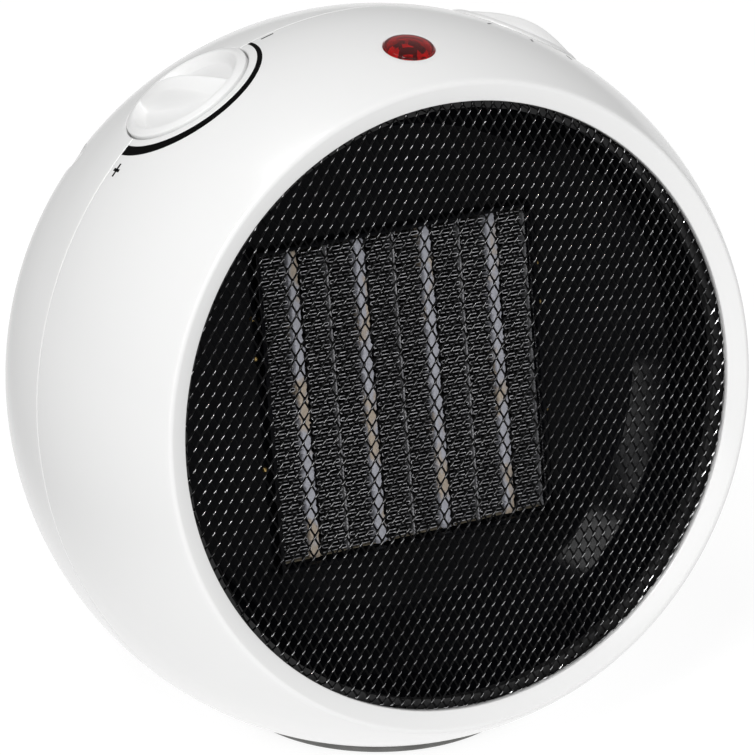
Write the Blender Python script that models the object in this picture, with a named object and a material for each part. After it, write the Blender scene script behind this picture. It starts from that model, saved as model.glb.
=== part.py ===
"""Ball-shaped ceramic fan heater. Metres, +Z up, front towards -Y, origin at the foot's centre."""

import math

import bmesh
import bpy
from mathutils import Matrix, Vector

MM = 0.001
GAP = 0.3  # clearance between pieces, mm

# ---- sizes, mm ----
BALL_R = 107.5  # outer radius of the ball
WALL = 2.5  # shell wall
LEAN_DEG = 9.0  # the ball leans back on its foot
CENTRE_Z = 100.4  # ball centre above the table
CREASE_Y = -54.6  # plane of the rim round the front opening, in the ball's own frame
LIP_Y, LIP_R = -52.2, 86.8  # inner edge of the bezel
FLOOR_Z = 4.2  # the shells are cut flat here, above the foot
FLOOR_T = 2.5

KNOB_ANGLE_DEG = 30.0  # each knob sits this far from the top, on the seam
KNOB_R = 19.5
KNOB_TURN_DEG = {"thermostat_knob": -64.0, "mode_knob": 150.0}  # where each grip bar points at rest
KNOB_FLOOR = 102.8  # floor of the knob recess, distance from the ball's centre
KNOB_BASE = KNOB_FLOOR + 0.4
KNOB_TOP = 111.7
SHAFT_R = 3.0

LENS_ANGLE_DEG = 19.8  # red lens, forward of the top
LENS_SIDE_DEG = -0.6
LENS_R = 7.1

CORE_W, CORE_H = 86.0, 90.2  # heating element, width and height
CORE_FRONT, CORE_BACK = -16.0, -2.0
N_TUBES = 4
TUBE_W = 4.0
PLATE_T = 0.8

SCREW_CIRCLE_R = 98.0  # shell screws
WELL_R = 4.8
WELL_FLOOR = 8.0
BOSS_R = 4.5

FOOT_R = 44.1
PAD_T = 2.0
PLATE_BOTTOM, PLATE_TOP = 2.3, 3.9
FOOT_SCREWS = ((0.0, -32.0), (27.7, 16.0), (-27.7, 16.0))
TIP_XY = (0.0, 26.0)  # tip-over switch
TIP_R = 3.0

SLOT_FIELD_R = 50.0  # air intake at the back
N_SLOTS, SLOT_PITCH, SLOT_H = 6, 13.0, 3.9

FAN_R = 54.0
N_BLADES = 7
GLAND_Z = 40.0  # mains inlet, level, at the back
GLAND_R, GLAND_BORE_R = 6.0, 3.5

SEGMENTS = 44

BALL = Matrix.Translation((0, 0, CENTRE_Z)) @ Matrix.Rotation(-math.radians(LEAN_DEG), 4, "X")
ALONG_Y = Matrix.Rotation(-math.pi / 2, 4, "X")  # local +Z becomes the ball's +Y
AXIAL = BALL @ ALONG_Y


def radial(degrees, axis="Y"):
    """The ball's frame turned so that +Z points out of the ball, this far from the top."""
    return BALL @ Matrix.Rotation(math.radians(degrees), 4, axis)


KNOB_LEFT = radial(-KNOB_ANGLE_DEG)
KNOB_RIGHT = radial(KNOB_ANGLE_DEG)
LENS = radial(LENS_SIDE_DEG) @ Matrix.Rotation(math.radians(LENS_ANGLE_DEG), 4, "X")
GLAND = Matrix.Translation((0, 0, GLAND_Z)) @ ALONG_Y


# ---- building blocks ----
def make(name, bm, matrix=None):
    """One closed mesh object, outward normals, in metres."""
    if matrix is not None:
        bmesh.ops.transform(bm, matrix=matrix, verts=bm.verts)
    bmesh.ops.transform(bm, matrix=Matrix.Scale(MM, 4), verts=bm.verts)
    bmesh.ops.recalc_face_normals(bm, faces=bm.faces)
    if bm.calc_volume(signed=True) < 0:
        bmesh.ops.reverse_faces(bm, faces=bm.faces)
    mesh = bpy.data.meshes.new(name)
    bm.to_mesh(mesh)
    bm.free()
    obj = bpy.data.objects.new(name, mesh)
    bpy.context.scene.collection.objects.link(obj)
    return obj


def revolved(name, profile, matrix, segments=SEGMENTS):
    """A closed (radius, height) outline turned round local Z; flat ends become single faces."""
    bm = bmesh.new()
    rings = []
    count = len(profile)
    for k, (r, z) in enumerate(profile):
        if r > 1e-6:
            turn = (2 * math.pi * i / segments for i in range(segments))
            rings.append([bm.verts.new((r * math.cos(a), r * math.sin(a), z)) for a in turn])
            continue
        before, after = profile[k - 1], profile[(k + 1) % count]
        flat = any(p[0] > 1e-6 and abs(p[1] - z) < 1e-6 for p in (before, after))
        rings.append(None if flat else [bm.verts.new((0, 0, z))])
    for k, ring in enumerate(rings):
        other = rings[(k + 1) % count]
        if max(len(ring or ()), len(other or ())) < 2:
            continue
        if ring is None or other is None:
            bm.faces.new(ring or other)
            continue
        for i in range(segments):
            j = (i + 1) % segments
            if len(ring) == 1:
                bm.faces.new((ring[0], other[i], other[j]))
            elif len(other) == 1:
                bm.faces.new((ring[i], other[0], ring[j]))
            else:
                bm.faces.new((ring[i], other[i], other[j], ring[j]))
    return make(name, bm, matrix)


def cylinder(name, r, z0, z1, matrix, segments=20, at=(0.0, 0.0)):
    """Turned by half a facet, so that no corner lies on the seam."""
    place = matrix @ Matrix.Translation((at[0], at[1], 0)) @ Matrix.Rotation(math.pi / segments, 4, "Z")
    return revolved(name, [(0, z0), (r, z0), (r, z1), (0, z1)], place, segments)


def tube(name, r_in, r_out, z0, z1, matrix, segments=32):
    return revolved(name, [(r_in, z0), (r_out, z0), (r_out, z1), (r_in, z1)], matrix, segments)


def block(name, low, high, matrix, bevel=0.0):
    """An upright box between two corners."""
    bm = bmesh.new()
    bmesh.ops.create_cube(bm, size=1.0)
    size = [h - l for l, h in zip(low, high)]
    middle = [(h + l) / 2 for l, h in zip(low, high)]
    shape = Matrix.Translation(middle) @ Matrix.Diagonal((*size, 1.0))
    bmesh.ops.transform(bm, matrix=shape, verts=bm.verts)
    if bevel:
        bmesh.ops.bevel(bm, geom=bm.edges[:], offset=bevel, segments=1, affect="EDGES")
    return make(name, bm, matrix)


def lofted(name, loops, matrix):
    """A solid through loops of corners, capped at both ends."""
    bm = bmesh.new()
    rows = [[bm.verts.new(p) for p in loop] for loop in loops]
    for a, b in zip(rows, rows[1:]):
        for i in range(len(a)):
            j = (i + 1) % len(a)
            bm.faces.new((a[i], b[i], b[j], a[j]))
    bm.faces.new(rows[0])
    bm.faces.new(rows[-1])
    return make(name, bm, matrix)


def prisms(name, outlines, depth, matrix):
    """Flat outlines in local X and Y, each pushed through +-depth along Z."""
    bm = bmesh.new()
    for outline in outlines:
        low = [bm.verts.new((x, y, -depth)) for x, y in outline]
        high = [bm.verts.new((x, y, depth)) for x, y in outline]
        bm.faces.new(low)
        bm.faces.new(high)
        for i in range(len(outline)):
            j = (i + 1) % len(outline)
            bm.faces.new((low[i], low[j], high[j], high[i]))
    return make(name, bm, matrix)


def arc(radius, start_deg, end_deg, steps, centre=(0.0, 0.0)):
    """Points (radius, height) along an arc; 0 degrees is the equator, 90 the far pole."""
    points = []
    for i in range(steps + 1):
        a = math.radians(start_deg + (end_deg - start_deg) * i / steps)
        points.append((centre[0] + radius * math.cos(a), centre[1] + radius * math.sin(a)))
    return points


def combine(obj, others, operation):
    """Apply exact Booleans with the other objects, which are then removed."""
    for other in others:
        other.hide_render = True
        other.display_type = "WIRE"
        step = obj.modifiers.new(operation.title(), "BOOLEAN")
        step.operation = operation
        step.solver = "EXACT"
        step.object = other
    bpy.context.view_layer.update()
    result = bpy.data.meshes.new_from_object(obj.evaluated_get(bpy.context.evaluated_depsgraph_get()))
    result.name = obj.name
    obj.modifiers.clear()
    obj.data = result
    for other in others:
        bpy.data.objects.remove(other, do_unlink=True)
    return obj


def cut(obj, *others):
    return combine(obj, others, "DIFFERENCE")


def add(obj, *others):
    return combine(obj, others, "UNION")


def keep(obj, other):
    return combine(obj, (other,), "INTERSECT")


def tidy(obj):
    """Remove slivers left by Booleans and keep only real corners sharp."""
    bm = bmesh.new()
    bm.from_mesh(obj.data)
    bmesh.ops.remove_doubles(bm, verts=bm.verts, dist=1e-6)
    bmesh.ops.dissolve_degenerate(bm, edges=bm.edges, dist=1e-6)
    bmesh.ops.triangulate(bm, faces=[f for f in bm.faces if len(f.verts) > 4])
    bmesh.ops.recalc_face_normals(bm, faces=bm.faces)
    for face in bm.faces:
        face.smooth = True
    for edge in bm.edges:
        if len(edge.link_faces) == 2:
            edge.smooth = edge.calc_face_angle(0.0) < math.radians(32)
    bm.to_mesh(obj.data)
    bm.free()


def paint(obj, colour, roughness, metallic=0.0):
    material = bpy.data.materials.new(obj.name)
    material.use_nodes = True
    shader = material.node_tree.nodes["Principled BSDF"]
    shader.inputs["Base Color"].default_value = (*colour, 1.0)
    shader.inputs["Roughness"].default_value = roughness
    shader.inputs["Metallic"].default_value = metallic
    obj.data.materials.clear()
    obj.data.materials.append(material)


def put_origin(obj, point):
    """Move the object's origin, leaving its surface where it is."""
    shift = Vector(point) * MM
    obj.data.transform(Matrix.Translation(-shift))
    obj.location = shift


# ---- the two shells ----
def shells():
    inner = BALL_R - WALL
    crease = math.degrees(math.asin(CREASE_Y / BALL_R))
    inner_crease = math.degrees(math.asin((CREASE_Y + 5.0) / inner))
    outside = arc(BALL_R, 90, crease + 0.8, 13)
    lip = [
        (BALL_R * math.cos(math.radians(crease)) - 0.7, CREASE_Y - 0.3),
        (LIP_R + 0.3, LIP_Y - 0.4),
        (LIP_R, LIP_Y + 0.2),
        (LIP_R, LIP_Y + 1.6),
    ]
    inside = arc(inner, inner_crease, 90, 10)
    body = revolved("rear_shell", outside + lip + inside, AXIAL)
    keep(body, block("above_floor", (-150, -150, FLOOR_Z), (150, 150, 250), Matrix()))

    floor = cylinder("floor", 70, FLOOR_Z, FLOOR_Z + FLOOR_T, Matrix(), 32)
    keep(floor, revolved("inside_ball", arc(BALL_R - 1.2, -90, 90, 18), AXIAL))
    extras = [floor]
    for k, (x, y) in enumerate(FOOT_SCREWS):
        extras.append(cylinder(f"foot_boss_{k}", 4.5, FLOOR_Z + 1, 14, Matrix(), 12, (x, y)))
    for k in range(4):
        a = math.radians(45 + 90 * k)
        at = (SCREW_CIRCLE_R * math.cos(a), SCREW_CIRCLE_R * math.sin(a))
        boss = cylinder(f"boss_{k}", BOSS_R, -34, -1, AXIAL, 12, at)
        well = cylinder(f"well_{k}", WELL_R + 2.7, 4.5, 45, AXIAL, 16, at)
        for piece in (boss, well):
            keep(piece, revolved("inside_ball", arc(BALL_R - 0.8, -90, 90, 18), AXIAL))
        extras += [boss, well]
    for k, frame in enumerate((KNOB_LEFT, KNOB_RIGHT)):
        seat = cylinder(f"seat_{k}", KNOB_R + 3.2, KNOB_FLOOR - 2.4, BALL_R, frame, 32)
        keep(seat, revolved("inside_ball", arc(BALL_R - 0.8, -90, 90, 18), AXIAL))
        extras.append(seat)
    add(body, *extras)

    holes = []
    for k, frame in enumerate((KNOB_LEFT, KNOB_RIGHT)):
        holes.append(cylinder(f"recess_{k}", KNOB_R + 0.5, KNOB_FLOOR, 130, frame, 40))
        holes.append(cylinder(f"bore_{k}", SHAFT_R + 0.5, 90, 105, frame, 16))
    holes.append(cylinder("lens_hole", LENS_R + GAP, 95, 120, LENS, 28))
    holes.append(cylinder("gland_hole", GLAND_R + GAP, 60, 120, GLAND, 16))
    for k in range(4):
        a = math.radians(45 + 90 * k)
        at = (SCREW_CIRCLE_R * math.cos(a), SCREW_CIRCLE_R * math.sin(a))
        holes.append(cylinder(f"well_cut_{k}", WELL_R, WELL_FLOOR, 120, AXIAL, 16, at))
        holes.append(cylinder(f"shank_cut_{k}", 1.9, -22, WELL_FLOOR + 1, AXIAL, 10, at))
    for k, (x, y) in enumerate(FOOT_SCREWS):
        holes.append(cylinder(f"foot_cut_{k}", 1.9, 0, 12, Matrix(), 10, (x, y)))
    holes.append(cylinder("tip_cut", TIP_R + 0.4, 0, 12, Matrix(), 16, TIP_XY))
    for k in range(N_SLOTS):
        z = SLOT_PITCH * (k - (N_SLOTS - 1) / 2)
        half = math.sqrt(SLOT_FIELD_R**2 - z**2)
        low, high = (-half, 70, z - SLOT_H / 2), (half, 130, z + SLOT_H / 2)
        holes.append(block(f"slot_{k}", low, high, BALL))
    cut(body, *holes)

    front = bpy.data.objects.new("front_shell", body.data.copy())
    bpy.context.scene.collection.objects.link(front)
    keep(front, block("front_half", (-150, -150, -150), (150, -GAP / 2, 150), BALL))
    keep(body, block("rear_half", (-150, GAP / 2, -150), (150, 150, 150), BALL))
    return front, body


# ---- front mesh, its ring and the baffle ----
def front_grille():
    """A domed sheet with diamond openings, taller than wide, in staggered columns."""
    pitch_x, pitch_z, half_w, half_h, limit = 24.0, 39.0, 8.6, 15.4, 84.5
    diamonds = []
    for i in range(-5, 6):
        for j in range(-4, 5):
            x, z = i * pitch_x, j * pitch_z
            for dx, dz in ((0, 0), (pitch_x / 2, pitch_z / 2)):
                cx, cz = x + dx, z + dz
                corners = [(cx, cz - half_h), (cx + half_w, cz), (cx, cz + half_h), (cx - half_w, cz)]
                if max(math.hypot(*c) for c in corners) < limit:
                    diamonds.append(corners)
    sheet = cylinder("front_grille", 88.6, 0.0, 1.2, Matrix(), 40)
    cut(sheet, prisms("diamonds", diamonds, 10, Matrix()))
    bm = bmesh.new()
    bm.from_mesh(sheet.data)
    bmesh.ops.triangulate(bm, faces=bm.faces)
    for v in bm.verts:
        r = math.hypot(v.co.x, v.co.y) / MM
        v.co.z += (-49.9 - 5.0 * (1 - (r / 88.6) ** 2)) * MM
    # local Z is the ball's +Y here, so the sheet's X and Y are the ball's X and -Z
    to_metres = Matrix.Scale(MM, 4) @ AXIAL @ Matrix.Scale(1 / MM, 4)
    bmesh.ops.transform(bm, matrix=to_metres, verts=bm.verts)
    bmesh.ops.recalc_face_normals(bm, faces=bm.faces)
    bm.to_mesh(sheet.data)
    bm.free()
    return sheet


def air_baffle():
    front = [(87.8, -45.2), (86.2, -36.0), (82.0, -25.4), (74.0, -18.0), (65.0, -15.8)]
    back = [(65.6, -13.8), (75.0, -16.2), (83.6, -24.2), (88.1, -35.4), (89.7, -44.4)]
    dish = revolved("air_baffle", [(0, -15.8), *reversed(front), *reversed(back), (0, -13.8)], AXIAL, 36)
    window = (CORE_W / 2 + 0.4, CORE_H / 2 + 0.4)
    return cut(dish, block("window", (-window[0], -30, -window[1]), (window[0], 0, window[1]), BALL))


# ---- heating element ----
def heating_element():
    pitch = CORE_W / N_TUBES
    half_h = CORE_H / 2
    left = -CORE_W / 2
    fin_w = (pitch - TUBE_W - PLATE_T) / 2 - 0.3
    pieces = {}
    for k in range(N_TUBES):
        middle = left + pitch * (k + 0.5)
        low = (middle - TUBE_W / 2, CORE_FRONT, -half_h)
        high = (middle + TUBE_W / 2, CORE_BACK, half_h)
        pieces[f"ptc_tube_{k + 1}"] = block(f"ptc_tube_{k + 1}", low, high, BALL, 0.5)
        for side in (0, 1):
            n = 2 * k + side + 1
            start = left + pitch * k + (PLATE_T / 2 + 0.15 if side == 0 else pitch / 2 + TUBE_W / 2 + 0.15)
            pieces[f"fin_bank_{n}"] = fin_bank(f"fin_bank_{n}", start, start + fin_w)
    for k in range(N_TUBES + 1):
        x = left + pitch * k
        name = {0: "side_plate_left", N_TUBES: "side_plate_right"}.get(k, f"divider_plate_{k}")
        low = (x - PLATE_T / 2 + 0.05, CORE_FRONT, -half_h)
        high = (x + PLATE_T / 2 - 0.05, CORE_BACK, half_h)
        pieces[name] = block(name, low, high, BALL)
    for name, sign in (("element_frame_top", 1), ("element_frame_bottom", -1)):
        z = sorted((sign * (half_h + GAP), sign * (half_h + 9.0)))
        low, high = (-CORE_W / 2 - 1.5, -13.4, z[0]), (CORE_W / 2 + 1.5, -1.0, z[1])
        pieces[name] = block(name, low, high, BALL, 0.8)
    for name, x in (("terminal_tab_left", -11.0), ("terminal_tab_right", 11.0)):
        pieces[name] = block(name, (x - 3.1, -8.0, -66.0), (x + 3.1, -7.2, -half_h - 9.3), BALL)
    return pieces


def fin_bank(name, x0, x1, folds=11, half_t=0.55):
    """A strip folded to and fro between two straight walls."""
    half_h = CORE_H / 2
    loops = []
    for i in range(2 * folds + 1):
        z = -half_h + CORE_H * i / (2 * folds)
        x = x0 + half_t if i % 2 == 0 else x1 - half_t
        front, back = CORE_FRONT + 0.4, CORE_BACK - 0.4
        loops.append([(x - half_t, front, z), (x + half_t, front, z), (x + half_t, back, z), (x - half_t, back, z)])
    return lofted(name, loops, BALL)


# ---- fan ----
def fan():
    pieces = {}
    duct = [(74, 0.4), (74, 2.4), (60, 2.4), (60, 35.4), (58, 35.4), (58, 0.4)]
    pieces["fan_shroud"] = revolved("fan_shroud", duct, AXIAL, 32)
    bar = block("motor_bracket", (-60, 35.8, -8), (60, 38.0, 8), BALL, 0.0)
    pieces["motor_bracket"] = cut(bar, cylinder("bearing_hole", 4.2, 30, 45, AXIAL, 20))
    can = [(2.2, 38.4), (20, 38.4), (22, 40.4), (22, 66), (7, 66), (7, 70), (0, 70), (0, 61), (2.2, 61)]
    pieces["motor_body"] = revolved("motor_body", can, AXIAL, 20)
    pieces["motor_shaft"] = cylinder("motor_shaft", 1.8, 13.5, 60.6, AXIAL, 12)
    hub = [(0, 10), (9, 10), (13, 13), (13, 32), (2.1, 32), (2.1, 13.2), (0, 13.2)]
    impeller = revolved("impeller", hub, AXIAL, 20)
    blades = []
    for k in range(N_BLADES):
        turn = AXIAL @ Matrix.Rotation(2 * math.pi * k / N_BLADES, 4, "Z")
        loops = []
        for r, pitch_deg, chord in ((11.5, 48, 17), (26, 38, 21), (40, 30, 24), (FAN_R, 24, 26)):
            b = math.radians(pitch_deg)
            along = Vector((0, math.cos(b), math.sin(b))) * chord / 2
            across = Vector((0, -math.sin(b), math.cos(b))) * 0.8
            middle = Vector((r, 0, 21.5))
            loops.append([middle - along - across, middle + along - across,
                          middle + along + across, middle - along + across])
        blades.append(lofted(f"blade_{k}", loops, turn))
    pieces["impeller"] = add(impeller, *blades)
    pieces["thermal_cutout"] = revolved(
        "thermal_cutout",
        [(0, -13.4), (7.4, -13.4), (7.4, -11.4), (6.2, -11.4), (6.2, -5), (0, -5)],
        BALL @ Matrix.Translation((56, 0, 18)) @ ALONG_Y, 20,
    )
    pieces["thermal_fuse"] = revolved(
        "thermal_fuse", [(0, -30), (1.0, -30), (2.0, -27), (2.0, -15), (1.0, -12), (0, -12)],
        BALL @ Matrix.Translation((51, -8, 0)), 12,
    )
    return pieces


# ---- controls ----
def knob(name, frame):
    """A round cap with a grip bar across it; the bar's broad end is towards +X."""
    frame = frame @ Matrix.Rotation(math.radians(KNOB_TURN_DEG[name]), 4, "Z")
    r = KNOB_R
    cap = [
        (0, KNOB_BASE + 3.4), (SHAFT_R + GAP, KNOB_BASE + 3.4), (SHAFT_R + GAP, KNOB_BASE),
        (r, KNOB_BASE), (r, KNOB_BASE + 2.4), (r - 1.6, KNOB_BASE + 3.8), (0, KNOB_BASE + 4.2),
    ]
    body = revolved(name, cap, frame, 30)
    loops = []
    for x, wide, narrow, drop in (
        (-17.8, 1.6, 0.6, 4.0), (-14, 3.0, 1.2, 1.4), (-6, 4.0, 1.6, 0.1), (1, 4.8, 2.0, 0.1),
        (9.5, 5.4, 2.4, 2.0), (17.2, 5.0, 2.2, 4.2),
    ):
        top = KNOB_TOP - drop
        loops.append([(x, -wide, KNOB_BASE + 3.5), (x, wide, KNOB_BASE + 3.5), (x, narrow, top), (x, -narrow, top)])
    return add(body, lofted("grip", loops, frame))


def controls():
    pieces = {}
    for name, body, shaft, frame in (
        ("thermostat_knob", "thermostat_body", "thermostat_shaft", KNOB_LEFT),
        ("mode_knob", "mode_switch_body", "mode_switch_shaft", KNOB_RIGHT),
    ):
        pieces[name] = knob(name, frame)
        pieces[shaft] = cylinder(shaft, SHAFT_R, 88.4, KNOB_BASE + 3.0, frame, 16)
        depth = 13 if body == "thermostat_body" else 11
        case = block(body, (-13, -11, 97.8 - depth), (13, 11, 97.8), frame, 1.0)
        pieces[body] = cut(case, cylinder("case_bore", SHAFT_R + GAP, 88, 110, frame, 16))
    lens = [
        (0, 105.6), (3.9, 105.0), (3.9, 100.6), (LENS_R, 100.6), (LENS_R, 107.4), (5.4, 108.3), (0, 108.7),
    ]
    pieces["indicator_lens"] = revolved("indicator_lens", lens, LENS, 24)
    holder = [(2.4, 97.0), (5.4, 97.0), (5.4, 100.2), (3.4, 100.2), (3.4, 98.2), (2.4, 98.2)]
    pieces["lamp_holder"] = revolved("lamp_holder", holder, LENS, 12)
    lamp = [(0, 97.3), (2.0, 97.3), (2.0, 98.6), (3.0, 98.6), (3.0, 102.4), (0, 104.6)]
    pieces["indicator_lamp"] = revolved("indicator_lamp", lamp, LENS, 12)
    return pieces


# ---- foot, tip-over switch, mains inlet, screws ----
def foot():
    pieces = {}
    r = FOOT_R
    pad = cylinder("foot_pad", r, 0, PAD_T, Matrix(), 36)
    plate = cylinder("foot_plate", r - 0.2, PLATE_BOTTOM, PLATE_TOP, Matrix(), 36)
    pad_holes = [cylinder(f"head_{k}", 3.9, -1, 3, Matrix(), 12, at) for k, at in enumerate(FOOT_SCREWS)]
    plate_holes = [cylinder(f"shank_{k}", 1.9, 1, 5, Matrix(), 10, at) for k, at in enumerate(FOOT_SCREWS)]
    for holes in (pad_holes, plate_holes):
        holes.append(cylinder("tip_hole", TIP_R + 0.4, -1, 6, Matrix(), 16, TIP_XY))
    pieces["foot_pad"] = cut(pad, *pad_holes)
    pieces["foot_plate"] = cut(plate, *plate_holes)
    x, y = TIP_XY
    case = block("tip_switch_body", (x - 6, y - 9, 7.0), (x + 6, y + 9, 22.0), Matrix(), 0.6)
    pieces["tip_switch_body"] = cut(case, cylinder("tip_bore", TIP_R + 0.4, 5, 14, Matrix(), 16, TIP_XY))
    stem = [(0, 0.1), (TIP_R - 0.8, 0.1), (TIP_R, 0.9), (TIP_R, 13.6), (0, 13.6)]
    at_tip = Matrix.Translation((*TIP_XY, 0))
    pieces["tip_switch_plunger"] = revolved("tip_switch_plunger", stem, at_tip, 16)
    for k, at in enumerate(FOOT_SCREWS):
        head = [(0, 0.5), (2.6, 0.5), (3.2, 1.0), (3.2, 2.0), (1.5, 2.0), (1.5, 11.5), (0, 11.5)]
        name = f"foot_screw_{k + 1}"
        pieces[name] = revolved(name, head, Matrix.Translation((*at, 0)), 12)
    for k in range(4):
        a = math.radians(45 + 90 * k)
        place = Matrix.Translation((SCREW_CIRCLE_R * math.cos(a), SCREW_CIRCLE_R * math.sin(a), 0))
        z = WELL_FLOOR + GAP
        screw = [(0, -20), (1.5, -20), (1.5, z), (3.6, z), (3.6, z + 1.6), (2.6, z + 2.4), (0, z + 2.4)]
        name = f"shell_screw_{k + 1}"
        pieces[name] = revolved(name, screw, AXIAL @ place, 12)
    r, bore = GLAND_R, GLAND_BORE_R
    gland = [(bore, 76), (r, 76), (r, 95.2), (r + 1.6, 95.2), (r + 1.0, 97.4), (bore + 1, 102), (bore, 102)]
    pieces["cord_gland"] = revolved("cord_gland", gland, GLAND, 16)
    pieces["terminal_block"] = block("terminal_block", (-15, 38, 12), (15, 45, 24), Matrix(), 0.6)
    return pieces


WHITE = ((0.86, 0.86, 0.85), 0.22, 0.0)
BLACK = ((0.02, 0.02, 0.022), 0.4, 0.0)
STEEL = ((0.6, 0.6, 0.62), 0.3, 1.0)
ALUMINIUM = ((0.75, 0.75, 0.78), 0.4, 1.0)
GREY = ((0.3, 0.3, 0.29), 0.6, 0.0)
CREAM = ((0.75, 0.68, 0.5), 0.6, 0.0)
FINISH = {
    "front_shell": WHITE, "rear_shell": WHITE, "thermostat_knob": WHITE, "mode_knob": WHITE,
    "front_grille": ((0.03, 0.03, 0.032), 0.35, 0.6), "grille_ring": BLACK, "air_baffle": BLACK,
    "fan_shroud": BLACK, "impeller": BLACK, "foot_plate": GREY,
    "foot_pad": ((0.16, 0.16, 0.155), 0.8, 0.0), "cord_gland": BLACK,
    "element_frame_top": CREAM, "element_frame_bottom": CREAM, "terminal_block": CREAM,
    "thermostat_body": CREAM, "mode_switch_body": BLACK, "tip_switch_body": BLACK,
    "tip_switch_plunger": ((0.8, 0.8, 0.78), 0.5, 0.0), "lamp_holder": BLACK,
    "indicator_lens": ((0.6, 0.02, 0.02), 0.15, 0.0), "indicator_lamp": ((0.9, 0.6, 0.4), 0.2, 0.0),
    "thermal_fuse": ((0.7, 0.4, 0.15), 0.5, 0.0),
}


def main():
    for obj in list(bpy.data.objects):
        bpy.data.objects.remove(obj, do_unlink=True)
    front, rear = shells()
    pieces = {"front_shell": front, "rear_shell": rear}
    pieces["front_grille"] = front_grille()
    pieces["grille_ring"] = tube("grille_ring", 84.6, 89.4, -48.2, -45.6, AXIAL, SEGMENTS)
    pieces["air_baffle"] = air_baffle()
    pieces.update(heating_element())
    pieces.update(fan())
    pieces.update(controls())
    pieces.update(foot())
    for name, obj in pieces.items():
        tidy(obj)
        fallback = ALUMINIUM if name.startswith(("fin_", "ptc_")) else STEEL
        paint(obj, *FINISH.get(name, fallback))
    for name in ("thermostat_knob", "thermostat_shaft"):
        put_origin(pieces[name], KNOB_LEFT @ Vector((0, 0, KNOB_BASE)))
    for name in ("mode_knob", "mode_switch_shaft"):
        put_origin(pieces[name], KNOB_RIGHT @ Vector((0, 0, KNOB_BASE)))
    for name in ("impeller", "motor_shaft"):
        put_origin(pieces[name], AXIAL @ Vector((0, 0, 21.5)))
    put_origin(pieces["tip_switch_plunger"], (*TIP_XY, 0.1))


main()
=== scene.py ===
"""Looks for the ball-shaped ceramic fan heater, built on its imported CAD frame.

Shapes are made in millimetres in a local frame and placed in metres in the CAD's frame.
"""

import math

import bmesh
import bpy
import numpy as np
from mathutils import Matrix, Vector


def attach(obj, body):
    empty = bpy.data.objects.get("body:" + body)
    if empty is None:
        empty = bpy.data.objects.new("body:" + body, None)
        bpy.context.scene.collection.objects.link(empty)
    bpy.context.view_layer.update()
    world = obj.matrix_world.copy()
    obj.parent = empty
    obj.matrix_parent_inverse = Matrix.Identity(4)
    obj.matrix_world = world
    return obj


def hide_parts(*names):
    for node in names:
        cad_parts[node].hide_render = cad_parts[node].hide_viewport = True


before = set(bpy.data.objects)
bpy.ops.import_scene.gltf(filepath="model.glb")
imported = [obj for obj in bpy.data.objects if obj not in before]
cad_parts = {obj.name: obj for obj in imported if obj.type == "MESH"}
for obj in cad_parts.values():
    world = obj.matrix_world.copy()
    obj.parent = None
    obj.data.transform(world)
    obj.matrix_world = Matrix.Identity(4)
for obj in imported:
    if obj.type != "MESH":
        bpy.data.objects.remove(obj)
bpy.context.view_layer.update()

MM = 0.001

# ---- sizes shared with the CAD, mm ----
BALL_R = 107.5
WALL = 2.5
INNER_R = BALL_R - WALL
CENTRE_Z = 100.4
LEAN = math.radians(9)
FLOOR_Z = 4.2
KNOB_TILT = 30.0
KNOB_R = 19.5
RECESS_R = 20.0
RECESS_FLOOR = 102.8
KNOB_BASE = 103.2
THERMOSTAT_TURN, MODE_TURN = -64.0, 150.0  # where each grip bar points at rest, degrees
LENS_TILT, LENS_SIDE = 19.8, -0.6
LENS_R = 7.1
FOOT_R = 44.1
FOOT_SCREWS = ((0.0, -32.0), (27.7, 16.0), (-27.7, 16.0))
TIP_XY = (0.0, 26.0)
SCREW_CIRCLE_R = 98.0
WELL_R, WELL_FLOOR = 4.9, 8.0
GLAND_HOLE_R = 6.3
SLOTS, SLOT_PITCH, SLOT_FIELD_R, SLOT_HALF = 6, 13.0, 50.0, 1.95  # intake slots at the back
SCREW_HOLE_R, SHANK_R, TIP_HOLE_R = 3.9, 1.9, 3.4  # holes in the foot
CORE_W, CORE_H = 86.0, 90.2
CORE_FRONT, CORE_BACK = -16.0, -2.0
CORE_PITCH = CORE_W / 4
TUBE_W = 4.0
WINDOW_X, WINDOW_Z = CORE_W / 2 + 0.4, CORE_H / 2 + 0.4  # half sizes of the dish's window
GLAND_Z = 40.0

BALL = Matrix.Translation((0, 0, CENTRE_Z)) @ Matrix.Rotation(-LEAN, 4, "X")
ALONG_Y = Matrix.Rotation(-math.pi / 2, 4, "X")  # local +Z becomes +Y
AXIAL = BALL @ ALONG_Y
KNOB_LEFT = BALL @ Matrix.Rotation(math.radians(-KNOB_TILT), 4, "Y")
KNOB_RIGHT = BALL @ Matrix.Rotation(math.radians(KNOB_TILT), 4, "Y")
LENS = (BALL @ Matrix.Rotation(math.radians(LENS_SIDE), 4, "Y")
        @ Matrix.Rotation(math.radians(LENS_TILT), 4, "X"))
GLAND = Matrix.Translation((0, 0, GLAND_Z)) @ ALONG_Y
LEVEL = Matrix()
FRONT = (BALL.to_3x3() @ Vector((0, -1, 0))).normalized()


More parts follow.
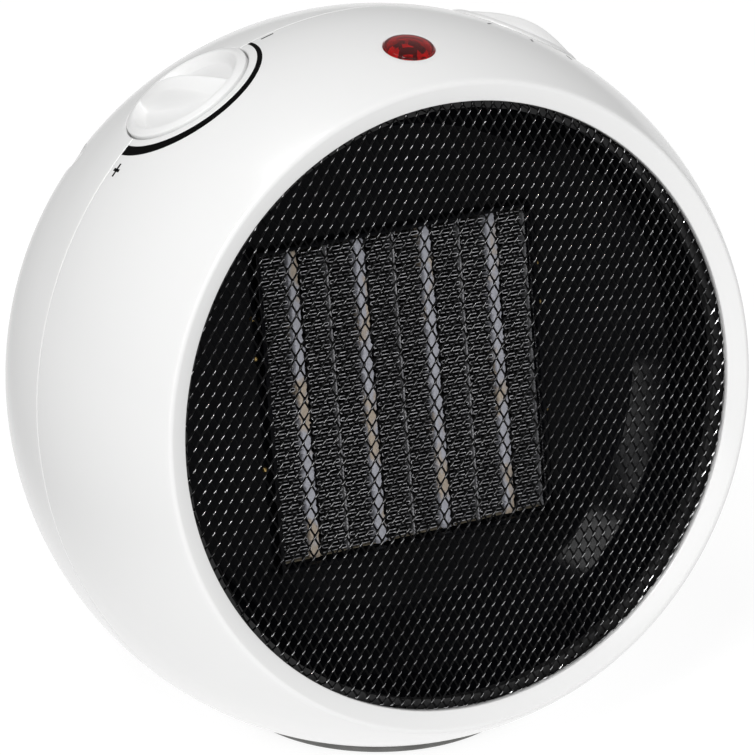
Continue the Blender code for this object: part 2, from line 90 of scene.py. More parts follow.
# ---- materials ----
def finish(name, colour, rough, metallic=0.0, other=None, patch=20.0, spread=(0.35, 0.65),
           vary_rough=0.05, grain=0.6, bump=0.01, coat=0.0, coat_rough=0.1, stretch=None,
           transmission=0.0, ior=1.5, glow=None, specular=0.5, fine=0.0):
    """A Principled material; colour, roughness and bump come from noise in the object's own space.

    patch and grain are feature sizes and bump is a height, all in mm.
    """
    material = bpy.data.materials.new(name)
    material.use_nodes = True
    nodes, links = material.node_tree.nodes, material.node_tree.links
    shader = nodes["Principled BSDF"]
    for key, value in (("Metallic", metallic), ("Coat Weight", coat),
                       ("Coat Roughness", coat_rough), ("Transmission Weight", transmission),
                       ("IOR", ior), ("Specular IOR Level", specular)):
        shader.inputs[key].default_value = value
    if glow:
        shader.inputs["Emission Color"].default_value = (*glow[0], 1)
        shader.inputs["Emission Strength"].default_value = glow[1]
    place = nodes.new("ShaderNodeTexCoord")
    space = place.outputs["Object"]
    if stretch:
        mapping = nodes.new("ShaderNodeMapping")
        mapping.inputs["Scale"].default_value = stretch
        links.new(space, mapping.inputs["Vector"])
        space = mapping.outputs["Vector"]

    def noise(size, detail=3.0, roughness=0.55):
        node = nodes.new("ShaderNodeTexNoise")
        node.inputs["Scale"].default_value = 1 / (size * MM)
        node.inputs["Detail"].default_value = detail
        node.inputs["Roughness"].default_value = roughness
        links.new(space, node.inputs["Vector"])
        return node

    ramp = nodes.new("ShaderNodeValToRGB")
    low = other or tuple(c * 0.93 for c in colour)
    ramp.color_ramp.elements[0].position = spread[0]
    ramp.color_ramp.elements[0].color = (*low, 1)
    ramp.color_ramp.elements[1].position = spread[1]
    ramp.color_ramp.elements[1].color = (*colour, 1)
    links.new(noise(patch).outputs["Fac"], ramp.inputs["Fac"])
    tint = ramp.outputs["Color"]
    if fine:
        speck = nodes.new("ShaderNodeMix")
        speck.data_type = "RGBA"
        speck.blend_type = "MULTIPLY"
        speck.inputs["Factor"].default_value = fine
        links.new(tint, speck.inputs["A"])
        links.new(noise(grain * 0.8, 2.0).outputs["Fac"], speck.inputs["B"])
        tint = speck.outputs["Result"]
    links.new(tint, shader.inputs["Base Color"])

    span = nodes.new("ShaderNodeMapRange")
    span.inputs["To Min"].default_value = max(0.02, rough - vary_rough)
    span.inputs["To Max"].default_value = min(1.0, rough + vary_rough)
    links.new(noise(grain * 7).outputs["Fac"], span.inputs["Value"])
    links.new(span.outputs["Result"], shader.inputs["Roughness"])

    if bump:
        relief = nodes.new("ShaderNodeBump")
        relief.inputs["Strength"].default_value = 1.0
        relief.inputs["Distance"].default_value = bump * MM
        links.new(noise(grain, 2.0).outputs["Fac"], relief.inputs["Height"])
        links.new(relief.outputs["Normal"], shader.inputs["Normal"])
    return material


LOOKS = {
    "white_gloss": ((0.80, 0.80, 0.798), 0.27, dict(other=(0.797, 0.797, 0.794), patch=60,
        grain=2.6, bump=0.0, vary_rough=0.005, coat=0.4, coat_rough=0.12)),
    "white_knob": ((0.81, 0.81, 0.808), 0.33, dict(other=(0.805, 0.805, 0.80), patch=30, grain=1.8,
        bump=0.0, vary_rough=0.01, coat=0.2, coat_rough=0.2)),
    "black_mesh": ((0.004, 0.004, 0.0042), 0.42, dict(other=(0.002, 0.002, 0.0022), patch=8,
        grain=0.5, bump=0.004, specular=0.06)),
    # painted highlight: mirror-bright metal for the ridges on the black-painted joints, standing in
    # for the paint's glints
    "mesh_painted_glint": ((0.97, 0.97, 0.98), 0.18, dict(metallic=1.0, other=(0.26, 0.26, 0.27), patch=30,
        spread=(0.38, 0.58), grain=0.4, bump=0.006)),
    "black_dish": ((0.0032, 0.0034, 0.0048), 0.11, dict(other=(0.002, 0.0022, 0.003), patch=40,
        grain=1.2, bump=0.001, vary_rough=0.02, specular=0.06)),
    "black_plastic": ((0.022, 0.022, 0.023), 0.42, dict(patch=25, grain=0.5, bump=0.01)),
    "ptc_tube": ((0.60, 0.61, 0.68), 0.5, dict(other=(0.64, 0.54, 0.43), patch=9,
        spread=(0.42, 0.49), grain=0.9, bump=0.03, stretch=(1, 1, 0.6), fine=0.35)),
    # painted light and shade: the fins' sides get a dark copy of the aluminium and their front
    # faces a light one
    "fin_aluminium": ((0.05, 0.05, 0.053), 0.5, dict(metallic=0.7, other=(0.02, 0.02, 0.022),
        patch=3, spread=(0.3, 0.7), grain=0.4, bump=0.01)),
    "fin_lit_fronts": ((0.74, 0.74, 0.77), 0.4, dict(metallic=0.4, other=(0.16, 0.16, 0.17), patch=1.6,
        spread=(0.40, 0.60), grain=0.4, bump=0.01)),
    "side_plate": ((0.76, 0.76, 0.78), 0.36, dict(metallic=0.8, other=(0.50, 0.50, 0.53), patch=4,
        grain=0.5, bump=0.01)),
    "heat_plastic": ((0.60, 0.52, 0.38), 0.55, dict(other=(0.52, 0.44, 0.31), patch=14, grain=0.5,
        bump=0.012)),
    "tab_brass": ((0.62, 0.44, 0.17), 0.3, dict(metallic=1.0, other=(0.50, 0.33, 0.12), patch=6,
        grain=0.3, bump=0.004, stretch=(1, 1, 0.15))),
    "motor_steel": ((0.48, 0.48, 0.49), 0.34, dict(metallic=1.0, other=(0.36, 0.36, 0.38),
        patch=10, grain=0.4, bump=0.004, stretch=(0.2, 1, 1))),
    "screw_steel": ((0.58, 0.58, 0.60), 0.3, dict(metallic=1.0, other=(0.42, 0.42, 0.43), patch=2,
        grain=0.25, bump=0.003)),
    # painted glow: the lens and the cup behind it give off red light, though neither is a lamp
    "red_lens": ((0.80, 0.010, 0.010), 0.06, dict(other=(0.74, 0.008, 0.009), patch=6, grain=0.8,
        bump=0.002, transmission=1.0, ior=1.36, specular=0.35,
        glow=((0.60, 0.006, 0.006), 0.025))),
    "lamp_glass": ((0.78, 0.16, 0.08), 0.08, dict(patch=2, grain=0.5, bump=0.002,
        transmission=0.6)),
    "foot_grey": ((0.42, 0.42, 0.40), 0.5, dict(other=(0.37, 0.37, 0.355), patch=16, grain=0.4,
        bump=0.012)),
    "foot_rubber": ((0.16, 0.16, 0.155), 0.75, dict(other=(0.12, 0.12, 0.115), patch=10,
        grain=0.35, bump=0.02)),
    "print_black": ((0.002, 0.002, 0.002), 0.6, dict(other=(0.0015, 0.0015, 0.0015), patch=2,
        grain=0.15, bump=0.002, specular=0.03)),
    # grey for the small dashes round the mode knob
    "grey_dashes": ((0.14, 0.14, 0.145), 0.6, dict(other=(0.20, 0.20, 0.20), patch=2, grain=0.15,
        bump=0.002, specular=0.1)),
    "red_cup_painted_glow": ((0.85, 0.02, 0.02), 0.25, dict(other=(0.70, 0.012, 0.012), patch=3, grain=0.6,
        bump=0.01, coat=0.5, glow=((1.0, 0.012, 0.01), 0.14))),
    "lamp_dark": ((0.02, 0.002, 0.002), 0.45, dict(other=(0.012, 0.001, 0.001), patch=2, grain=0.4,
        bump=0.01, specular=0.1)),
}
M = {name: finish(name, colour, rough, **more) for name, (colour, rough, more) in LOOKS.items()}


# ---- shapes: (points, faces) in mm ----
def fillet(corners, steps=4):
    """A closed outline of (x, y, radius) corners, each rounded by an arc of its radius."""
    out = []
    count = len(corners)
    for k, (x, y, radius) in enumerate(corners):
        here = np.array((x, y), float)
        if radius <= 0:
            out.append(tuple(here))
            continue
        a = np.array(corners[k - 1][:2], float) - here
        b = np.array(corners[(k + 1) % count][:2], float) - here
        la, lb = np.linalg.norm(a), np.linalg.norm(b)
        a, b = a / la, b / lb
        half = 0.5 * math.acos(max(-1.0, min(1.0, float(a @ b))))
        if half > math.pi / 2 - 0.01:
            out.append(tuple(here))
            continue
        reach = min(radius / math.tan(half), 0.48 * la, 0.48 * lb)
        r = reach * math.tan(half)
        centre = here + (a + b) / np.linalg.norm(a + b) * (r / math.sin(half))
        start, end = here + a * reach - centre, here + b * reach - centre
        t0, t1 = math.atan2(start[1], start[0]), math.atan2(end[1], end[0])
        turn = (t1 - t0 + math.pi) % (2 * math.pi) - math.pi
        for i in range(steps + 1):
            t = t0 + turn * i / steps
            out.append((centre[0] + r * math.cos(t), centre[1] + r * math.sin(t)))
    return out


def arc(radius, start_deg, end_deg, steps):
    """Points along a circle round the origin; 0 degrees is the equator."""
    angles = np.radians(np.linspace(start_deg, end_deg, steps + 1))
    return [(radius * math.cos(a), radius * math.sin(a)) for a in angles]


def revolve(profile, segments=128):
    """A closed (radius, height) outline turned round local Z."""
    points, rings, faces = [], [], []
    turn = np.arange(segments) * 2 * math.pi / segments
    for r, z in profile:
        if r < 1e-6:
            rings.append([len(points)])
            points.append((0, 0, z))
        else:
            rings.append(list(range(len(points), len(points) + segments)))
            points.extend(zip(r * np.cos(turn), r * np.sin(turn), [z] * segments))
    for k, a in enumerate(rings):
        b = rings[(k + 1) % len(rings)]
        for i in range(segments):
            j = (i + 1) % segments
            if len(a) == 1 and len(b) == 1:
                break
            if len(a) == 1:
                faces.append((a[0], b[j], b[i]))
            elif len(b) == 1:
                faces.append((a[i], a[j], b[0]))
            else:
                faces.append((a[i], a[j], b[j], b[i]))
    return np.array(points, float), faces


def loft(loops, closed=True):
    """Rings of the same number of points joined in order, capped at both ends."""
    count = len(loops[0])
    points = np.array([p for loop in loops for p in loop], float)
    faces = []
    for k in range(len(loops) - 1):
        for i in range(count):
            j = (i + 1) % count
            faces.append((k * count + i, k * count + j, (k + 1) * count + j, (k + 1) * count + i))
    if closed:
        faces.append(tuple(range(count)))
        faces.append(tuple(range((len(loops) - 1) * count, len(loops) * count)))
    return points, faces


def rounded_box(low, high, radius=0.4, segments=2):
    bm = bmesh.new()
    bmesh.ops.create_cube(bm, size=1.0)
    low, high = Vector(low), Vector(high)
    shape = Matrix.Translation((low + high) / 2) @ Matrix.Diagonal((*(high - low), 1))
    bmesh.ops.transform(bm, matrix=shape, verts=bm.verts)
    if radius:
        bmesh.ops.bevel(bm, geom=bm.edges[:], offset=radius, segments=segments, profile=0.5,
                        affect="EDGES")
    bm.verts.index_update()
    points = np.array([v.co[:] for v in bm.verts], float)
    faces = [tuple(v.index for v in f.verts) for f in bm.faces]
    bm.free()
    return points, faces


def pipe(path, radius, sides=10):
    """A round bar along a path of points, capped."""
    path = np.array(path, float)
    along = np.gradient(path, axis=0)
    along /= np.linalg.norm(along, axis=1, keepdims=True)
    side = np.cross(along[0], (0.3, 0.5, 0.8))
    side /= np.linalg.norm(side)
    loops = []
    for p, t in zip(path, along):
        side = side - t * (side @ t)
        side /= np.linalg.norm(side)
        up = np.cross(t, side)
        loops.append([p + radius * (math.cos(a) * side + math.sin(a) * up)
                      for a in np.arange(sides) * 2 * math.pi / sides])
    return loft(loops)


def rod(radius, low, high, segments):
    """A plain cylinder on local Z."""
    return revolve([(0, low), (radius, low), (radius, high), (0, high)], segments)


def at(xy):
    return Matrix.Translation((*xy, 0))


def join(*shapes):
    points, faces, start = [], [], 0
    for p, f in shapes:
        points.append(p)
        faces.extend(tuple(i + start for i in face) for face in f)
        start += len(p)
    return np.vstack(points), faces


def moved(shape, matrix):
    m = np.array(matrix)
    return shape[0] @ m[:3, :3].T + m[:3, 3], shape[1]


def add_mesh(name, shape, place):
    points, faces = moved(shape, place)
    mesh = bpy.data.meshes.new(name)
    mesh.from_pydata((points * MM).tolist(), [], faces)
    bm = bmesh.new()
    bm.from_mesh(mesh)
    bmesh.ops.recalc_face_normals(bm, faces=bm.faces)
    bm.to_mesh(mesh)
    bm.free()
    obj = bpy.data.objects.new(name, mesh)
    bpy.context.scene.collection.objects.link(obj)
    return obj


def dress(obj, material, body="housing", stands_for=(), crease=32):
    mesh = obj.data
    mesh.materials.clear()
    mesh.materials.append(M[material])
    mesh.shade_smooth()
    mesh.set_sharp_from_angle(angle=math.radians(crease))
    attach(obj, body)
    if stands_for:
        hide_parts(*stands_for)
    return obj


def piece(name, shape, place, material, body="housing", stands_for=(), crease=32):
    return dress(add_mesh(name, shape, place), material, body, stands_for, crease)


def paint_faces(obj, material, chosen):
    """Give the chosen faces (a test on the face) a second material."""
    obj.data.materials.append(M[material])
    for face in obj.data.polygons:
        if chosen(face):
            face.material_index = 1


def faces_front(face):
    return face.normal.dot(FRONT) > 0.7


def carve(obj, *cutters):
    """Exact difference with every (shape, place) cutter; the cutters don't touch each other."""
    cutter = add_mesh("cutter", join(*[moved(*cut) for cut in cutters]), LEVEL)
    step = obj.modifiers.new("carve", "BOOLEAN")
    step.operation = "DIFFERENCE"
    step.solver = "EXACT"
    step.object = cutter
    bpy.context.view_layer.update()
    evaluated = obj.evaluated_get(bpy.context.evaluated_depsgraph_get())
    result = bpy.data.meshes.new_from_object(evaluated)
    obj.modifiers.clear()
    obj.data = result
    bpy.data.objects.remove(cutter, do_unlink=True)


def round_normals(obj):
    """Exact normals wherever the surface lies on the ball, so that cuts leave no shading marks."""
    mesh = obj.data
    centre = Vector((0, 0, CENTRE_Z * MM))
    outward = {}
    for v in mesh.vertices:
        arm = v.co - centre
        if abs(arm.length - BALL_R * MM) < 2e-6:
            outward[v.index] = arm.normalized()
    limit = math.cos(math.radians(12))
    normals = [(0, 0, 0)] * len(mesh.loops)
    for face in mesh.polygons:
        for i in face.loop_indices:
            n = outward.get(mesh.loops[i].vertex_index)
            if n is not None and n.dot(face.normal) > limit:
                normals[i] = n[:]
    mesh.normals_split_custom_set(normals)


# ---- the two shells ----
def shells():
    gap = 0.15  # half the groove at the seam
    front = [(BALL_R - 0.01, -gap, 0.3)] + [(r, z, 0) for r, z in arc(BALL_R, -0.55, -29.4, 26)]
    front += [(92.35, -54.75, 1.5), (86.8, -52.15, 0.55), (86.8, -49.9, 0.3), (92.4, -49.7, 0.0)]
    front += [(r, z, 0) for r, z in arc(INNER_R, -27.5, -0.6, 12)] + [(INNER_R, -gap, 0)]
    rear = [(BALL_R - 0.01, gap, 0.3)] + [(r, z, 0) for r, z in arc(BALL_R, 0.55, 90, 80)]
    rear += [(r, z, 0) for r, z in arc(INNER_R, 90, 0.6, 36)] + [(INNER_R, gap, 0)]

    recess = revolve(fillet([(0, RECESS_FLOOR - 4, 0), (RECESS_R, RECESS_FLOOR - 4, 0),
                             (RECESS_R, 105.58, 0.5), (24.4, 105.30, 0), (30, 114, 0),
                             (0, 114, 0)], 6), 168)
    lens_hole = revolve(fillet([(0, 96, 0), (LENS_R + 0.25, 96, 0), (LENS_R + 0.25, 107.2, 0.3),
                                (9.4, 107.09, 0), (12, 114, 0), (0, 114, 0)], 4), 96)
    shared = [below(FLOOR_Z), (recess, KNOB_LEFT), (recess, KNOB_RIGHT)]
    shell_skin("front_shell", front, shared + [(lens_hole, LENS)])

    wells = [(rod(WELL_R, 20, 120, 48), AXIAL @ screw_place(k)) for k in range(4)]
    gland_hole = rod(GLAND_HOLE_R, 70, 130, 64)
    shell_skin("rear_shell", rear, shared + wells + [(gland_hole, GLAND)] + intake_slots())
    inside_of_shells()


def below(height):
    """Cutter for everything under a level plane."""
    return rounded_box((-150, -150, -60), (150, 150, height), 0), LEVEL


def intake_slots():
    """Cutters for the level slots at the back, as wide as a circle lets them be."""
    cuts = []
    for k in range(SLOTS):
        z = SLOT_PITCH * (k - (SLOTS - 1) / 2)
        half = math.sqrt(SLOT_FIELD_R**2 - z**2)
        slot = fillet([(x, y, 1.9) for x, y in ((-half, -SLOT_HALF), (half, -SLOT_HALF),
                                                (half, SLOT_HALF), (-half, SLOT_HALF))], 6)
        cut = loft([[(x, y, depth) for x, y in slot] for depth in (70, 130)])
        cuts.append((cut, AXIAL @ Matrix.Translation((0, -z, 0))))
    return cuts


def shell_skin(node, outline, cuts):
    shell = add_mesh(node + "_skin", revolve(fillet(outline, 5), 288), AXIAL)
    carve(shell, *cuts)
    dress(shell, "white_gloss", stands_for=(node,), crease=28)
    round_normals(shell)


def inside_of_shells():
    """A tongue behind the seam, the floors of the recesses and wells, and the ball's flat floor."""
    tongue = fillet([(INNER_R - 1.2, -6, 0), (INNER_R + 0.3, -6, 0.2), (BALL_R - 1.1, -1.4, 0.3),
                     (BALL_R - 1.1, 1.4, 0.3), (INNER_R + 0.3, 6, 0.2), (INNER_R - 1.2, 6, 0)], 3)
    ring = add_mesh("seam_tongue", revolve(tongue, 288), AXIAL)
    clear = rod(RECESS_R + 0.4, 96, 120, 96)
    carve(ring, below(FLOOR_Z + 0.6), (clear, KNOB_LEFT), (clear, KNOB_RIGHT))
    dress(ring, "white_gloss")
    disc = revolve(fillet([(3.5, 100.6, 0), (RECESS_R + 0.5, 100.6, 0),
                           (RECESS_R + 0.5, RECESS_FLOOR, 0), (3.5, RECESS_FLOOR, 0.3)], 3), 128)
    for name, place in (("recess_floor_left", KNOB_LEFT), ("recess_floor_right", KNOB_RIGHT)):
        piece(name, disc, place, "white_gloss")
    wells = [moved(well_cup(screw_place(k)), AXIAL) for k in range(4)]
    piece("screw_wells", join(*wells), LEVEL, "white_gloss")
    floor = revolve(fillet([(0, FLOOR_Z, 0), (42.0, FLOOR_Z, 0), (47.0, FLOOR_Z + 2.4, 0),
                            (0, FLOOR_Z + 2.4, 0)]), 96)
    floor = add_mesh("ball_floor", floor, LEVEL)
    carve(floor, *[(rod(SHANK_R, 0, 20, 20), at(xy)) for xy in FOOT_SCREWS],
          (rod(TIP_HOLE_R, 0, 20, 32), at(TIP_XY)))
    dress(floor, "white_gloss")


def screw_place(k):
    a = math.radians(45 + 90 * k)
    return Matrix.Translation((SCREW_CIRCLE_R * math.cos(a), SCREW_CIRCLE_R * math.sin(a), 0))


def well_cup(place):
    """A tube with a floor whose open end follows the inside of the shell."""
    sides = 48
    centre = place.translation
    loops = []
    for r, z in ((1.9, 5.0), (7.2, 5.0), (7.2, None), (4.8, None), (4.8, WELL_FLOOR),
                 (1.9, WELL_FLOOR)):  # no height: up to the shell
        ring = []
        for i in range(sides):
            a = 2 * math.pi * i / sides
            x, y = centre.x + r * math.cos(a), centre.y + r * math.sin(a)
            top = math.sqrt(max(4.0, (BALL_R - 1.2) ** 2 - x * x - y * y)) if z is None else z
            ring.append((x, y, top))
        loops.append(ring)
    points, faces = loft(loops + [loops[0]], closed=False)
    last = len(loops) * sides
    faces = [tuple(i - last if i >= last else i for i in f) for f in faces]
    return points[:last], faces


# ---- expanded metal front ----
MESH_ACROSS, MESH_TALL = 3.22, 5.97  # pitch of the openings
MESH_TILT = math.radians(-7.5)
MESH_COLUMNS, MESH_ROWS = 57, 32  # half pitches each way from the middle
DOME_R, DOME_EDGE_Y, DOME_RISE = 84.9, -51.9, 2.3
RIM_R, RIM_BACK_Y = 86.45, -48.35
RIDGE_LEAN = math.radians(58)
RIDGE_HALF, RIDGE_WIDTH, RIDGE_HEIGHT = 0.76, 0.16, 0.30
JOINT_HALF = 0.42  # half the upright part of a joint between openings
STRAND_HALF = 0.29
# the larger ridges there carry more of the painted glint
BIG_RIDGE = 1.5  # how much larger the ridges are where the rim catches the light
JITTER = 0.025
MESH_TRIM = 0.9  # how far the last joints stay from the mesh's own edge


def dome_section():
    """Half the mesh's section: distance along it, radius, y, and the two parts of its normal."""
    r = np.linspace(0, DOME_R, 120)
    y = DOME_EDGE_Y - DOME_RISE * (1 - (r / DOME_R) ** 2)
    slope = math.atan(2 * DOME_RISE / DOME_R)
    t = np.linspace(slope, math.pi / 2, 24)[1:]
    turn_r = (RIM_R - DOME_R) / (1 - math.sin(slope))
    rt = r[-1] + turn_r * (np.sin(t) - math.sin(slope))
    yt = y[-1] + turn_r * (math.cos(slope) - np.cos(t))
    r = np.concatenate([r, rt, [rt[-1]]])
    y = np.concatenate([y, yt, [RIM_BACK_Y]])
    s = np.concatenate([[0], np.cumsum(np.hypot(np.diff(r), np.diff(y)))])
    dr, dy = np.gradient(r, s), np.gradient(y, s)
    size = np.hypot(dr, dy)
    return s, r, y, dy / size, -dr / size


def bend(flat, section):
    """Lay flat (across, up, height) points on the dome."""
    s, r, y, nr, ny = section
    u, v, h = flat[:, 0], flat[:, 1], flat[:, 2]
    d = np.hypot(u, v)
    phi = np.arctan2(v, u)
    rr = np.interp(d, s, r) + h * np.interp(d, s, nr)
    yy = np.interp(d, s, y) + h * np.interp(d, s, ny)
    return np.stack([rr * np.cos(phi), yy, rr * np.sin(phi)], axis=1)


def tilted(points):
    """The rows of openings turned to their slant."""
    c, s = math.cos(MESH_TILT), math.sin(MESH_TILT)
    out = points.copy()
    out[:, 0] = points[:, 0] * c - points[:, 1] * s
    out[:, 1] = points[:, 0] * s + points[:, 1] * c
    return out


def joint_places():
    """Centres of the joints between openings, in staggered columns."""
    return [(i * MESH_ACROSS / 2, j * MESH_TALL / 2)
            for i in range(-MESH_COLUMNS, MESH_COLUMNS + 1)
            for j in range(-MESH_ROWS, MESH_ROWS + 1) if (i + j) % 2 == 0]


def catches_light(centre):
    """True along the lower right of the rim, where the ridges' painted glints are made larger."""
    return np.hypot(*centre) > DOME_R - 1.2 and centre[0] > 50 and -70 < centre[1] < 25


def mesh_joint():
    """The small plate where two openings meet."""
    plate = [(-0.37, -JOINT_HALF), (0.0, -0.98), (0.37, -JOINT_HALF), (0.37, JOINT_HALF),
             (0.0, 0.98), (-0.37, JOINT_HALF)]
    low = [(x * 1.12, y * 1.05, -0.26) for x, y in plate]
    top = [(x, y, 0.06 + 0.16 * (y > 0) - 0.1 * (y < 0)) for x, y in plate]
    faces = [tuple(range(6)), tuple(range(6, 12))]
    faces += [(i, (i + 1) % 6, 6 + (i + 1) % 6, 6 + i) for i in range(6)]
    return np.array(low + top), faces


def mesh_ridge():
    """The slanting ridge on a joint; its bright metal finish is a painted glint."""
    c, s = math.cos(RIDGE_LEAN), math.sin(RIDGE_LEAN)
    points, faces = [], []
    for q in (-1.0, -0.55, 0.0, 0.55, 1.0):
        width = RIDGE_WIDTH * math.sqrt(max(0.0, 1 - (q * 0.93) ** 2)) + 0.02
        height = RIDGE_HEIGHT * (1 - 0.75 * q * q)
        for p, h in ((-1, 0.0), (0, height), (1, 0.0)):
            x, y = q * RIDGE_HALF, p * width
            points.append((x * c - y * s, x * s + y * c, 0.02 + h + 0.08 * q))
    for k in range(4):
        for a in (k * 3, k * 3 + 1):
            faces.append((a, a + 1, a + 4, a + 3))
    faces += [(0, 3, 6, 9, 12, 14, 11, 8, 5, 2), (0, 2, 1), (12, 13, 14)]
    return np.array(points), faces


def mesh_strand(p0, p1):
    """A thin three-sided bar between two joints."""
    d = (p1 - p0)[:2]
    n = np.array((-d[1], d[0])) / np.hypot(*d) * STRAND_HALF
    return loft([[(p[0] + n[0], p[1] + n[1], p[2] - 0.24), (p[0] - n[0], p[1] - n[1], p[2] - 0.24),
                  (p[0], p[1], p[2] + 0.13)] for p in (p0, p1)])


def front_mesh():
    """Tall diamonds in staggered columns on a shallow dome whose edge turns back behind the bezel.

    Every joint between two openings is a small plate with a slanting ridge; thin strands link them.
    The ridges get a bright metal finish, a painted highlight that stands for the glints on the
    black paint.
    """
    section = dome_section()
    reach = section[0][-1] - MESH_TRIM
    rng = np.random.default_rng(11)
    joint, ridge = mesh_joint(), mesh_ridge()
    shapes, glint_faces, count = [], set(), 0
    for a, b in joint_places():
        centre = tilted(np.array([[a, b]]))[0]
        if np.hypot(*centre) > reach:
            continue
        jitter = rng.normal(0, JITTER, 2)
        for points, faces in (joint, ridge):
            local = points.copy()
            if points is ridge[0]:
                glint_faces.update(range(count, count + len(faces)))
                local[:, :2] *= BIG_RIDGE if catches_light(centre) else 1.0
            local[:, 0] += a + jitter[0]
            local[:, 1] += b + jitter[1]
            shapes.append((tilted(local), faces))
            count += len(faces)
        for side in (-1, 1):
            p0 = np.array((a + side * 0.1, b + JOINT_HALF, 0.10))
            p1 = np.array((a + side * (MESH_ACROSS / 2 - 0.1),
                           b + MESH_TALL / 2 - JOINT_HALF, -0.06))
            if np.hypot(*tilted(p1[None, :2])[0]) > reach:
                continue
            points, faces = mesh_strand(p0, p1)
            shapes.append((tilted(points), faces))
            count += len(faces)
    points, faces = join(*shapes)
    obj = piece("front_mesh", (bend(points, section), faces), BALL, "black_mesh",
                stands_for=("front_grille",), crease=40)
    # the ridge faces get the bright metal: a painted highlight
    paint_faces(obj, "mesh_painted_glint", lambda face: face.index in glint_faces)


# ---- dish behind the mesh ----
def dish():
    front = [(0, -15.8, 0), (65.0, -15.8, 3), (75.6, -17.4, 2), (83.6, -25.0, 3), (86.6, -36.0, 8),
             (87.8, -45.2, 0.5)]
    back = [(89.7, -44.4, 0.5), (88.3, -35.4, 8), (84.9, -23.8, 3), (76.4, -15.6, 2),
            (65.6, -13.8, 3), (0, -13.8, 0)]
    obj = add_mesh("baffle_dish", revolve(fillet(front + back, 8), 192), AXIAL)
    carve(obj, (rounded_box((-WINDOW_X, -30, -WINDOW_Z), (WINDOW_X, 0, WINDOW_Z), 0), BALL))
    dress(obj, "black_dish", stands_for=("air_baffle",))
    near, far = 0.2, 1.6  # the lip's two faces, out from the window
    lip = [rounded_box((x0, -19.0, z0), (x1, -15.5, z1), 0.35) for x0, x1, z0, z1 in (
        (-WINDOW_X - far, WINDOW_X + far, -WINDOW_Z - far, -WINDOW_Z - near),
        (-WINDOW_X - far, WINDOW_X + far, WINDOW_Z + near, WINDOW_Z + far),
        (-WINDOW_X - far, -WINDOW_X - near, -WINDOW_Z - 0.6, WINDOW_Z + 0.6),
        (WINDOW_X + near, WINDOW_X + far, -WINDOW_Z - 0.6, WINDOW_Z + 0.6),
    )]
    piece("window_lip", join(*lip), BALL, "black_dish")
    rivet = revolve(fillet([(0, 15.6, 0), (0.9, 15.6, 0.1), (0.9, 16.0, 0.3), (0.5, 16.5, 0.3),
                            (0, 16.55, 0)], 4), 24)
    forward = Matrix.Rotation(math.pi / 2, 4, "X")  # local +Z becomes -Y
    rivets = [moved(rivet, Matrix.Translation((sign * (WINDOW_X + 2.8), 0, z)) @ forward)
              for sign in (-1, 1) for z in (28.0, 16.5, -16.0)]
    piece("window_rivets", join(*rivets), BALL, "tab_brass")


# ---- heating element ----
def heating_element():
    half, left = CORE_H / 2, -CORE_W / 2
    rng = np.random.default_rng(5)
    fin_w = (CORE_PITCH - TUBE_W - 0.8) / 2 - 0.3
    for k in range(4):
        shape = tube_shape(left + CORE_PITCH * (k + 0.5), half, rng)
        piece(f"heater_tube_{k + 1}", shape, BALL, "ptc_tube", stands_for=(f"ptc_tube_{k + 1}",))
        for n, inset in ((2 * k + 1, 0.55), (2 * k + 2, CORE_PITCH / 2 + TUBE_W / 2 + 0.15)):
            x0 = left + CORE_PITCH * k + inset
            obj = piece(f"fins_{n}", fin_shape(x0, x0 + fin_w, half, rng), BALL, "fin_aluminium",
                        stands_for=(f"fin_bank_{n}",), crease=50)
            # front faces painted lit, sides painted shaded, on one aluminium
            paint_faces(obj, "fin_lit_fronts", faces_front)
    for k in range(5):
        node = {0: "side_plate_left", 4: "side_plate_right"}.get(k, f"divider_plate_{k}")
        shape = plate_shape(left + CORE_PITCH * k, half, rng)
        piece(node + "_sheet", shape, BALL, "side_plate", stands_for=(node,))
    for node, sign in (("element_frame_top", 1), ("element_frame_bottom", -1)):
        low, high = sorted((sign * (half + 0.3), sign * (half + 9.0)))
        bar = rounded_box((-CORE_W / 2 - 1.5, -13.4, low), (CORE_W / 2 + 1.5, -1.0, high), 0.9, 3)
        ribs = [rounded_box((left + 5 + i * 8.4, -13.95, low + 1.4),
                            (left + 6.2 + i * 8.4, -13.2, high - 1.4), 0.2, 1) for i in range(10)]
        piece(node + "_bar", join(bar, *ribs), BALL, "heat_plastic", stands_for=(node,))
    for node, x in (("terminal_tab_left", -11.0), ("terminal_tab_right", 11.0)):
        tip, root = -66, -half - 9.3
        blade = fillet([(x - 3.1, tip, 1.2), (x + 3.1, tip, 1.2), (x + 3.1, root, 0.2),
                        (x - 3.1, root, 0.2)])
        shape = loft([[(a, y, b) for a, b in blade] for y in (-8.0, -7.2)])
        obj = add_mesh(node + "_blade", shape, BALL)
        carve(obj, (rod(0.9, -12, -3, 24), BALL @ Matrix.Translation((x, 0, -62.5)) @ ALONG_Y))
        dress(obj, "tab_brass", stands_for=(node,))


